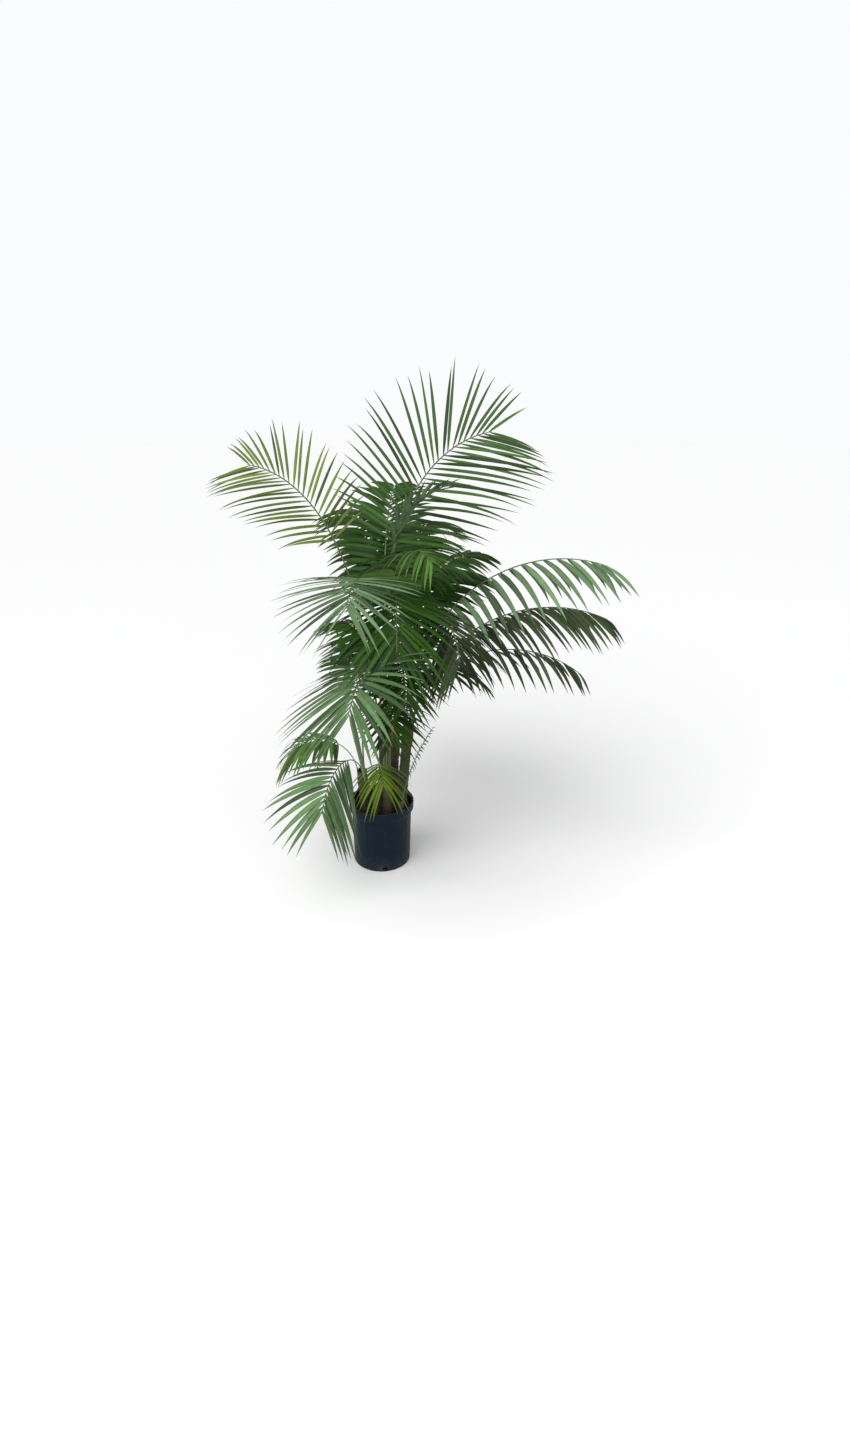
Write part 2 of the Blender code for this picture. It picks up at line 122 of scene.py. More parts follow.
def round_about(sides):
    """Each of so many turns about Z, with its cosine and sine."""
    for k in range(sides):
        turn = 2 * pi * k / sides
        yield turn, cos(turn), sin(turn)


def turned(profile, sides, relief):
    """Points and faces of a (radius, height) profile turned about Z and closed on the axis.

    relief takes radius, height and turn, and gives what the wall stands proud by.
    """
    points = [(0.0, 0.0, profile[0][1])]
    for radius, height in profile[1:-1]:
        for turn, x, y in round_about(sides):
            wide = radius + relief(radius, height, turn)
            points.append((wide * x, wide * y, height))
    points.append((0.0, 0.0, profile[-1][1]))
    last = len(points) - 1
    top = last - sides
    faces = []
    for k in range(sides):
        after = (k + 1) % sides
        faces.append((0, 1 + after, 1 + k))
        faces.append((top + k, top + after, last))
        for low in range(1, top, sides):
            faces.append((low + k, low + after, low + sides + after, low + sides + k))
    return points, faces


def new_group(name, colours, values):
    """A shader node group that gives a colour, a roughness and a height.

    Returns its tree, what it is given and what it gives out.
    """
    group = bpy.data.node_groups.new(name, "ShaderNodeTree")
    colour, value = "NodeSocketColor", "NodeSocketFloat"
    for label in colours + values:
        kind = colour if label in colours else value
        group.interface.new_socket(name=label, in_out="INPUT", socket_type=kind)
    for label, kind in (("Color", colour), ("Roughness", value), ("Height", value)):
        group.interface.new_socket(name=label, in_out="OUTPUT", socket_type=kind)
    given, result = group.nodes.new("NodeGroupInput"), group.nodes.new("NodeGroupOutput")
    return group, given.outputs, result.inputs


def add_node(tree, kind, settings=None, **values):
    """A shader node with its settings, and its inputs set to values or linked to sockets."""
    node = tree.nodes.new("ShaderNode" + kind)
    for label, value in (settings or {}).items():
        setattr(node, label, value)
    for label, value in values.items():
        socket = node.inputs[int(label[1:]) if label[1:].isdigit() else label.replace("_", " ")]
        if isinstance(value, bpy.types.NodeSocket):
            tree.links.new(value, socket)
        else:
            socket.default_value = value
    return node


def mix_colours(tree, share, first, second, blend="MIX"):
    """The colour socket of a mix of two colours."""
    settings = {"data_type": "RGBA", "blend_type": blend}
    return add_node(tree, "Mix", settings, i0=share, i6=first, i7=second).outputs[2]


def ramped(tree, value, low, high, darkest=0.0, brightest=1.0):
    """The value socket of a smooth step from low to high."""
    settings = {"interpolation_type": "SMOOTHSTEP"}
    return add_node(tree, "MapRange", settings, Value=value, i1=low, i2=high,
                    i3=darkest, i4=brightest).outputs[0]


def calculated(tree, operation, first, second=0.0):
    """The value socket of a working on one value or two."""
    return add_node(tree, "Math", {"operation": operation}, i0=first, i1=second).outputs[0]


def times(tree, first, second):
    """The value socket of a product."""
    return calculated(tree, "MULTIPLY", first, second)


def plus(tree, first, second):
    """The value socket of a sum."""
    return calculated(tree, "ADD", first, second)


def mottled(tree, place, scale, detail, roughness):
    """The value socket of a noise over the places given."""
    return add_node(tree, "TexNoise", Vector=place, Scale=scale, Detail=detail,
                    Roughness=roughness).outputs["Fac"]


def give_out(group, result, **sockets):
    """Links a group's outputs, and returns the finished group."""
    for label, socket in sockets.items():
        group.links.new(socket, result[label])
    return group


def new_finish(name, roughness, gloss=0.4):
    """A material: its own data, its node tree and its Principled shader."""
    finish = bpy.data.materials.new(name)
    finish.use_nodes = True
    shader = finish.node_tree.nodes["Principled BSDF"]
    shader.inputs["Roughness"].default_value = roughness
    shader.inputs["Specular IOR Level"].default_value = gloss
    return finish, finish.node_tree, shader


def dress(tree, shader, group, *bumps, **values):
    """Places a group, its inputs set or linked, and feeds what it gives to the shader.

    Each bump is its height, strength and distance; a height of None is the group's own.
    """
    effect = add_node(tree, "Group", {"node_tree": group}, **values)
    tree.links.new(effect.outputs["Color"], shader.inputs["Base Color"])
    tree.links.new(effect.outputs["Roughness"], shader.inputs["Roughness"])
    under = {}
    for height, strength, distance in bumps:
        bump = add_node(tree, "Bump", Height=height or effect.outputs["Height"], Strength=strength,
                        Distance=distance, **under)
        under = {"Normal": bump.outputs["Normal"]}
    tree.links.new(under["Normal"], shader.inputs["Normal"])


def build_dust_group():
    """Dust and dried splashes: they lie on what faces up, and fade upward from the foot."""
    group, given, result = new_group(
        "settled dust", ("Color", "Dust Color"),
        ("Amount", "Splash Height", "Clean Roughness", "Grain Size"))
    place = add_node(group, "TexCoord").outputs["Object"]
    normal = add_node(group, "NewGeometry").outputs["Normal"]
    facing = add_node(group, "SeparateXYZ", Vector=normal)
    level = add_node(group, "SeparateXYZ", Vector=place)
    blotches = mottled(group, place, 26.0, 5.0, 0.62)
    specks = mottled(group, place, given["Grain Size"], 2.0, 0.5)
    upward = ramped(group, facing.outputs["Z"], 0.1, 0.95)
    low_down = calculated(group, "DIVIDE", level.outputs["Z"], given["Splash Height"])
    splashed = ramped(group, low_down, 1.0, 0.0, 0.0, 0.55)
    patchy = ramped(group, blotches, 0.42, 0.68)
    lies = plus(group, upward, splashed)
    share = times(group, lies, plus(group, patchy, 0.18))
    share = times(group, share, given["Amount"])
    share = add_node(group, "Clamp", Value=share).outputs[0]
    fine = ramped(group, specks, 0.35, 0.7, 0.82, 1.18)
    toned = mix_colours(group, 1.0, given["Color"], fine, "MULTIPLY")
    dusty = mix_colours(group, share, toned, given["Dust Color"])
    dulled = times(group, share, 0.4)
    rough = plus(group, given["Clean Roughness"], dulled)
    rough = plus(group, rough, times(group, patchy, 0.06))
    return give_out(group, result, Color=dusty, Roughness=rough, Height=specks)


settled_dust = build_dust_group()


def make_pot_plastic():
    """Polyethylene: scuffed in random patches all over, dusty at the foot."""
    finish, tree, shader = new_finish("nursery_pot_plastic", roughness=0.5, gloss=0.1)
    place = add_node(tree, "TexCoord").outputs["Object"]
    worn = ramped(tree, mottled(tree, place, 70.0, 8.0, 0.7), 0.54, 0.72, brightest=0.75)
    plastic = mix_colours(tree, worn, POT_COLOUR, POT_SCUFF)
    dress(tree, shader, settled_dust, (None, 0.25, 0.0004), Color=plastic, Dust_Color=DUST_COLOUR,
          Amount=0.35, Splash_Height=0.09, Clean_Roughness=0.4, Grain_Size=420.0)
    return finish


def wall_radius(height):
    """Outside of the tapered wall at a height."""
    return POT_FOOT_RADIUS + (POT_TOP_RADIUS - POT_FOOT_RADIUS) * height / POT_STEP


def pot_relief(radius, height, turn):
    """Flutes and parting lines down the body's outside."""
    if height > POT_STEP - 0.001 or abs(radius - wall_radius(height)) > RELIEF_REACH:
        return 0.0
    starts = min(1.0, max(0.0, (height - FLUTE_FOOT) / FLUTE_FADE))
    fade = starts * min(1.0, max(0.0, (POT_STEP - FLUTE_FADE - height) / FLUTE_FADE))
    flute = abs(cos(FLUTE_COUNT * (turn + pi / 2) / 2)) ** FLUTE_SHARPNESS
    parting = exp(-((turn % pi) - PARTING_TURN) ** 2 / PARTING_SPREAD)
    return FLUTE_DEPTH * flute * fade + PARTING_DEPTH * parting


def pot_profile():
    """Outside of the floor, up the wall and band, over the lip and down the inside."""
    profile = list(UNDERSIDE)
    for k in range(1, WALL_ROWS):
        height = UNDERSIDE[-1][1] + (POT_STEP - WALL_MARGIN) * k / WALL_ROWS
        profile.append((wall_radius(height), height))
    for radius, height, outline in (
            (POT_TOP_RADIUS, POT_STEP, STEP_OUTSIDE), (POT_RIM_RADIUS, POT_STEP, BAND_OUTSIDE),
            (POT_RIM_RADIUS, POT_HEIGHT, LIP), (POT_RIM_RADIUS, POT_STEP, BAND_INSIDE),
            (POT_TOP_RADIUS, POT_STEP, STEP_INSIDE),
            (POT_FOOT_RADIUS - POT_WALL, POT_FLOOR, FLOOR_INSIDE)):
        profile += [(radius + out, height + up) for out, up in outline]
    return profile + [(0.0, POT_FLOOR)]


def cut_drain_holes(pot):
    """Cuts the ring of round-cornered slots through the wall just above the floor."""
    shapes = bmesh.new()
    for k in range(DRAIN_COUNT):
        turn = Matrix.Rotation(2 * pi * k / DRAIN_COUNT - pi / 2 + radians(DRAIN_TURN), 4, "Z")
        place = Matrix.Translation((POT_FOOT_RADIUS, 0.0, DRAIN_BOTTOM + DRAIN_HEIGHT / 2))
        size = Matrix.Diagonal((6 * POT_WALL, DRAIN_WIDTH, DRAIN_HEIGHT, 1.0))
        block = bmesh.ops.create_cube(shapes, size=1.0, matrix=turn @ place @ size)
        outward = turn @ Vector((1.0, 0.0, 0.0))
        corners = [edge for edge in {e for v in block["verts"] for e in v.link_edges}
                   if abs((edge.verts[1].co - edge.verts[0].co).normalized().dot(outward)) > 0.9]
        bmesh.ops.bevel(shapes, geom=corners, offset=DRAIN_CORNER, segments=4, profile=0.5,
                        affect="EDGES")
    cutter = add_object("drain_cutter", mesh_of("drain_cutter", shapes))
    holes = pot.modifiers.new("drain holes", "BOOLEAN")
    holes.operation = "DIFFERENCE"
    holes.solver = "EXACT"
    holes.object = cutter
    cut = bpy.data.meshes.new_from_object(pot.evaluated_get(bpy.context.evaluated_depsgraph_get()))
    pot.modifiers.clear()
    pot.data = cut
    pot.data.set_sharp_from_angle(angle=radians(38))
    bpy.data.objects.remove(cutter)


pot = add_piece("nursery_pot", *turned(pot_profile(), POT_SIDES, pot_relief), make_pot_plastic())
cut_drain_holes(pot)
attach(pot, "root")
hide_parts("pot")


# The soil: dark peat and bark mix, filled to the step under the rim band and watered down
# into lumps. Composted bark chips and a few grains of perlite lie loose on top of it.
SOIL_TOP = POT_STEP
SOIL_SIDES = 120
SOIL_RINGS = 44
SOIL_CROWDING = 0.8
SOIL_EDGE = 0.1345
SOIL_COVER = 0.001
SOIL_HEAP = 0.006
HEAP_RADIUS = 0.075
SOIL_RISE = 0.006
RISE_FROM = 0.122
RISE_WIDTH = 0.01
SOIL_RELIEF = 0.00175
# Lumps, clods and crumbs: how fine, which slice of the noise, and share of the relief
SOIL_LUMPS = ((34, 2.0, 1.0), (95, 5.0, 0.55), (260, 9.0, 0.35))
# The plug's side below its surface, as radius and height
SOIL_SIDE = ((SOIL_EDGE, SOIL_TOP + 0.0052), (0.1262, SOIL_TOP + 0.0006), (0.1262, SOIL_TOP - 0.012),
             (0.119, POT_FLOOR + 0.012), (0.11, POT_FLOOR + 0.0008))
LOOSE_RADIUS = SOIL_EDGE * 0.93
LOOSE_TILT = 0.35
LOOSE_WIDTHS = (0.45, 0.8)
LOOSE_SUNK = 0.3
CHIP_COUNT = 420
PERLITE_COUNT = 70
SOIL_COLOUR = (0.0085, 0.0068, 0.0052, 1.0)
SOIL_CRUMB = (0.034, 0.022, 0.014, 1.0)
CHIP_COLOUR = (0.06, 0.034, 0.019, 1.0)
CHIP_EDGE = (0.017, 0.01, 0.007, 1.0)
PERLITE_COLOUR = (0.62, 0.6, 0.55, 1.0)
PERLITE_EDGE = (0.35, 0.33, 0.29, 1.0)


def soil_height(x, y):
    """Height of the soil's surface: heaped a little round the stems, with lumps."""
    off = (x * x + y * y) ** 0.5
    heap = SOIL_HEAP * exp(-(off / HEAP_RADIUS) ** 2)
    rise = SOIL_RISE * min(1.0, max(0.0, (off - RISE_FROM) / RISE_WIDTH))
    lumps = sum(share * noise.noise(Vector((x * fine, y * fine, level)))
                for fine, level, share in SOIL_LUMPS)
    return SOIL_TOP + SOIL_COVER + heap + rise + SOIL_RELIEF * lumps


def make_soil_finish():
    """Damp peat, nearly black, with browner crumbs."""
    finish, tree, shader = new_finish("potting_mix", roughness=0.95)
    place = add_node(tree, "TexCoord").outputs["Object"]
    crumbs = add_node(tree, "TexVoronoi", Vector=place, Scale=240.0, Randomness=1.0)
    damp = mottled(tree, place, 60.0, 9.0, 0.7)
    colour = mix_colours(tree, ramped(tree, damp, 0.45, 0.75), SOIL_COLOUR, SOIL_CRUMB)
    dress(tree, shader, settled_dust, (crumbs.outputs["Distance"], 0.6, 0.002), (damp, 0.7, 0.002),
          Color=colour, Dust_Color=SOIL_CRUMB, Amount=0.25, Splash_Height=0.01,
          Clean_Roughness=0.86, Grain_Size=600.0)
    return finish


def soil_shape():
    """A closed plug: lumpy on top, down the pot's wall and flat on its floor."""
    points = [(0.0, 0.0, soil_height(0.0, 0.0))]
    shares = [(ring + 1) / SOIL_RINGS for ring in range(SOIL_RINGS)]
    rings = [(SOIL_EDGE * share ** SOIL_CROWDING, None) for share in shares]
    rings += SOIL_SIDE
    for radius, height in rings:
        for _, x, y in round_about(SOIL_SIDES):
            x, y = radius * x, radius * y
            points.append((x, y, soil_height(x, y) if height is None else height))
    points.append((0.0, 0.0, SOIL_SIDE[-1][1]))
    last = len(points) - 1
    faces = []
    for k in range(SOIL_SIDES):
        after = (k + 1) % SOIL_SIDES
        faces.append((0, 1 + k, 1 + after))
        for ring in range(len(rings) - 1):
            low = 1 + ring * SOIL_SIDES
            faces.append((low + k, low + SOIL_SIDES + k, low + SOIL_SIDES + after, low + after))
        faces.append((last - SOIL_SIDES + k, last, last - SOIL_SIDES + after))
    return points, faces


def scattered(seed, count, sizes, flatness, jag):
    """Loose lumps lying on the soil, as one mesh: each a squashed, jagged ball."""
    chance = random.Random(seed)
    shapes = bmesh.new()
    for _ in range(count):
        off = LOOSE_RADIUS * chance.random() ** 0.5
        turn = chance.uniform(0.0, 2 * pi)
        x, y = off * cos(turn), off * sin(turn)
        long = chance.uniform(*sizes)
        wide = long * chance.uniform(*LOOSE_WIDTHS)
        thick = long * chance.uniform(*flatness)
        lean, roll = [chance.uniform(-LOOSE_TILT, LOOSE_TILT) for _ in range(2)]
        tilt = Euler((lean, roll, chance.uniform(0.0, 2 * pi)))
        size = Matrix.Diagonal((long / 2, wide / 2, thick / 2, 1.0))
        place = Matrix.Translation((x, y, soil_height(x, y) + thick * LOOSE_SUNK))
        ball = bmesh.ops.create_icosphere(shapes, subdivisions=1, radius=1.0)
        for vert in ball["verts"]:
            vert.co *= 1 + chance.uniform(-jag, jag)
        bmesh.ops.transform(shapes, matrix=place @ tilt.to_matrix().to_4x4() @ size, verts=ball["verts"])
    return mesh_of("loose", shapes)


def make_crumb_finish(name, colour, edge, scale):
    """Bark or perlite: mottled, dull and grainy."""
    finish, tree, shader = new_finish(name, roughness=0.9)
    place = add_node(tree, "TexCoord").outputs["Object"]
    mottle = mottled(tree, place, scale, 6.0, 0.65)
    toned = mix_colours(tree, ramped(tree, mottle, 0.35, 0.65), edge, colour)
    dress(tree, shader, settled_dust, (None, 0.5, 0.001), Color=toned, Dust_Color=SOIL_CRUMB,
          Amount=0.2, Splash_Height=0.01, Clean_Roughness=0.8, Grain_Size=900.0)
    return finish


def add_loose(name, mesh, finish, angle):
    """The lumps as a piece, sharp where their faces meet at more than the angle."""
    mesh.materials.append(finish)
    mesh.shade_smooth()
    mesh.set_sharp_from_angle(angle=radians(angle))
    made = add_object(name, mesh)
    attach(made, "root")


soil = add_piece("potting_mix", *soil_shape(), make_soil_finish())
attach(soil, "root")
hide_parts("soil")
bark_finish = make_crumb_finish("composted_bark", CHIP_COLOUR, CHIP_EDGE, scale=190.0)
chips = scattered(3, CHIP_COUNT, sizes=(0.005, 0.016), flatness=(0.22, 0.45), jag=0.28)
add_loose("bark_chips", chips, bark_finish, angle=25)
perlite_finish = make_crumb_finish("perlite", PERLITE_COLOUR, PERLITE_EDGE, scale=700.0)
grains = scattered(4, PERLITE_COUNT, sizes=(0.0015, 0.0035), flatness=(0.6, 0.9), jag=0.2)
add_loose("perlite_grains", grains, perlite_finish, angle=40)


# The stems: seven young trunks from one root, leaning apart a little. Each is ringed by the
# scars of shed fronds, furrowed between them, and swollen with root knuckles at the soil.
STEM_FOOT_RADIUS = 0.024
STEM_TOP_RADIUS = 0.021
STEM_FLARE = 0.008
STEM_FLARE_HALVES = 0.015
STEM_SIDES = 36
STEM_STEP = 0.0036
STEM_BURIED = 0.006
DOME_HEIGHT = 0.01
DOME_DEPTH = 0.75
SCAR_GAPS = (0.02, 0.034)
FIRST_SCAR = 0.7
LAST_SCAR = 0.02
SCAR_LEAN = 0.003
SCAR_LIP = 0.0017
LIP_SPREAD = 0.0024
SCAR_GROOVE = 0.001
GROOVE_ABOVE = 0.0055
GROOVE_SPREAD = 0.003
FURROW_DEPTH = 0.0008
FURROWS_ROUND = 5.5
FURROWS_UP = 22
FURROWS_FINER = 2.7
KNUCKLES_ROUND = 2.4
KNUCKLES_RAISED = 0.1
KNUCKLE_SIZE = 0.006
KNUCKLE_HEIGHT = 0.014
BARK_COLOUR = (0.044, 0.048, 0.018, 1.0)
BARK_DARK = (0.014, 0.012, 0.007, 1.0)
BARK_PINK = (0.085, 0.058, 0.038, 1.0)

# Places on the soil and of the tip, with the girth against a full-grown stem's
Stem = namedtuple("Stem", "x y top_x top_y top_z girth")
STEMS = {
    "tall": Stem(0.005, 0.02, 0.015, 0.03, 0.6, 1.0),
    "right": Stem(0.085, -0.005, 0.12, 0.01, 0.62, 1.0),
    "back": Stem(0.05, 0.078, 0.055, 0.118, 0.52, 1.0),
    "left": Stem(-0.07, -0.012, -0.08, -0.03, 0.42, 0.9),
    "front": Stem(0.03, -0.068, 0.03, -0.08, 0.42, 0.9),
    "shoot": Stem(0.084, -0.072, 0.09, -0.078, 0.31, 0.5),
    "sprout": Stem(-0.022, -0.098, -0.018, -0.102, 0.39, 0.5),
}


def build_fibre_group():
    """Plant fibre: streaks that run along a stem, sheath or stalk, with dark furrows."""
    group, given, result = new_group("plant fibre", ("Color", "Streak Color"),
                                     ("Streak Amount", "Fineness", "Clean Roughness"))
    along = add_node(group, "UVMap", {"uv_map": "grain"}).outputs["UV"]
    parts = add_node(group, "SeparateXYZ", Vector=along)
    round_way = times(group, parts.outputs["X"], given["Fineness"])
    up_way = times(group, parts.outputs["Y"], 14.0)
    stretched = add_node(group, "CombineXYZ", X=round_way, Y=up_way)
    streaks = mottled(group, stretched.outputs["Vector"], 1.0, 6.0, 0.6)
    place = add_node(group, "TexCoord").outputs["Object"]
    blotches = mottled(group, place, 45.0, 4.0, 0.6)
    dark = ramped(group, streaks, 0.4, 0.64)
    share = times(group, dark, given["Streak Amount"])
    light = ramped(group, blotches, 0.3, 0.75, 0.72, 1.3)
    toned = mix_colours(group, 1.0, given["Color"], light, "MULTIPLY")
    colour = mix_colours(group, share, toned, given["Streak Color"])
    dulled = times(group, dark, 0.12)
    rough = plus(group, given["Clean Roughness"], dulled)
    return give_out(group, result, Color=colour, Roughness=rough, Height=streaks)


plant_fibre = build_fibre_group()


def make_fibre_finish(name, colour, streak, amount, fineness, roughness, strength):
    """Bark or sheath: furrowed fibre along it."""
    finish, tree, shader = new_finish(name, roughness)
    dress(tree, shader, plant_fibre, (None, strength, 0.0012), Color=colour, Streak_Color=streak,
          Streak_Amount=amount, Fineness=fineness, Clean_Roughness=roughness)
    return finish


def tube(rings, sides):
    """Points, faces and grain coordinates of a tube through rings of points, with both ends closed.

    Each ring is (its points, its distance along). The grain runs along the tube.
    """
    points = [point for ring, _ in rings for point in ring]
    faces = []
    grain = []
    for row in range(len(rings) - 1):
        low = row * sides
        near, far = rings[row][1], rings[row + 1][1]
        for k in range(sides):
            after = (k + 1) % sides
            faces.append((low + k, low + after, low + sides + after, low + sides + k))
            left, right = k / sides, (k + 1) / sides
            grain += [(left, near), (right, near), (right, far), (left, far)]
    for row, outward in ((0, False), (len(rings) - 1, True)):
        middle = len(points)
        points.append(sum(rings[row][0]) / sides)
        low = row * sides
        for k in range(sides):
            after = (k + 1) % sides
            faces.append((low + k, low + after, middle) if outward else (low + after, low + k, middle))
            grain += [(k / sides, rings[row][1])] * 3
    return points, faces, grain


def write_grain(made, grain):
    """Lays the grain coordinates on a piece's faces."""
    layer = made.data.uv_layers.new(name="grain")
    layer.data.foreach_set("uv", np.array(grain, dtype=np.float32).ravel())


def stem_radius(stem, share):
    """Radius at a share of the stem's height, with the flare at its foot."""
    height = share * (stem.top_z - SOIL_TOP)
    flare = STEM_FLARE * 2.0 ** (-height / STEM_FLARE_HALVES)
    return stem.girth * (STEM_FOOT_RADIUS + (STEM_TOP_RADIUS - STEM_FOOT_RADIUS) * share + flare)


def stem_rings(stem, chance):
    """The stem's rings from just under the soil to its domed tip, with scars and furrows."""
    foot = np.array((stem.x, stem.y, SOIL_TOP - STEM_BURIED))
    tip = np.array((stem.top_x, stem.top_y, stem.top_z))
    tall = stem.top_z - foot[2]
    scars = [(chance.uniform(*SCAR_GAPS) * FIRST_SCAR, chance.uniform(0, 2 * pi))]
    while scars[-1][0] < tall - LAST_SCAR:
        scars.append((scars[-1][0] + chance.uniform(*SCAR_GAPS), chance.uniform(0, 2 * pi)))
    shift = chance.uniform(0.0, 50.0)
    count = round(tall / STEM_STEP)
    rings = []
    for row in range(count + 1):
        share = row / count
        height = share * tall
        centre = foot + (tip - foot) * share
        past = max(0.0, (height - tall + DOME_HEIGHT) / DOME_HEIGHT)
        dome = 1 - DOME_DEPTH * past ** 2
        ring = []
        for turn, x, y in round_about(STEM_SIDES):
            radius = stem_radius(stem, share) * dome
            for level, lean in scars:
                off = height - level - SCAR_LEAN * sin(turn + lean)
                radius += stem.girth * SCAR_LIP * exp(-(off / LIP_SPREAD) ** 2)
                radius -= stem.girth * SCAR_GROOVE * exp(-((off - GROOVE_ABOVE) / GROOVE_SPREAD) ** 2)
            rough = Vector((x * FURROWS_ROUND, y * FURROWS_ROUND, height * FURROWS_UP + shift))
            furrows = noise.noise(rough) + 0.5 * noise.noise(rough * FURROWS_FINER)
            radius += FURROW_DEPTH * furrows
            lumpy = Vector((x * KNUCKLES_ROUND, y * KNUCKLES_ROUND, shift))
            knuckle = max(0.0, noise.noise(lumpy) + KNUCKLES_RAISED)
            radius += KNUCKLE_SIZE * stem.girth * knuckle * exp(-height / KNUCKLE_HEIGHT)
            ring.append(centre + radius * np.array((x, y, 0.0)))
        rings.append((ring, height))
    return rings


brown_bark = make_fibre_finish("ringed_bark", BARK_COLOUR, BARK_DARK, amount=0.75, fineness=46.0,
                               roughness=0.8, strength=0.8)
pink_bark = make_fibre_finish("young_bark", BARK_PINK, BARK_DARK, amount=0.6, fineness=40.0,
                              roughness=0.74, strength=0.7)
stem_chance = random.Random(21)
for stem_name, stem in STEMS.items():
    points, faces, grain = tube(stem_rings(stem, stem_chance), STEM_SIDES)
    finish = pink_bark if stem_name in ("left", "sprout", "shoot") else brown_bark
    bark = add_piece("bark_of_" + stem_name, points, faces, finish)
    write_grain(bark, grain)
    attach(bark, "root")
    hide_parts("stem_" + stem_name)


# The ribs: each frond's stalk and midrib, one tapering length. It is channelled above and
# keeled below, springs from its stem's top, and arches over under the blade's weight.
RIB_FOOT_WIDTH = 0.0095
RIB_TIP_WIDTH = 0.004
RIB_THINNING = 0.8
RIB_TIP = 0.97
RIB_TIP_LENGTH = 0.03
RIB_TIP_LOSS = 0.6
FOOT_RING = 0.66
FIT = 0.0003
PATH_STEPS = 160
RIB_STATIONS = 84
STATION_CROWDING = 1.15
ROLL_DONE = 0.5
CLASP_LENGTH = 0.045
CLASP_SWELL = 0.55
# Outline across a rib of unit width: how far right and how far up
RIB_OUTLINE = ((-0.5, -0.04), (-0.4, 0.05), (-0.2, 0.0), (0.0, -0.05), (0.2, 0.0),
               (0.4, 0.05), (0.5, -0.04), (0.42, -0.3), (0.24, -0.55), (0.0, -0.68),
               (-0.24, -0.55), (-0.42, -0.3))
STALK_COLOUR = (0.095, 0.125, 0.042, 1.0)
STALK_STREAK = (0.04, 0.052, 0.02, 1.0)
STALK_FOOT = (0.105, 0.072, 0.04, 1.0)
STALK_SHARE = 0.1

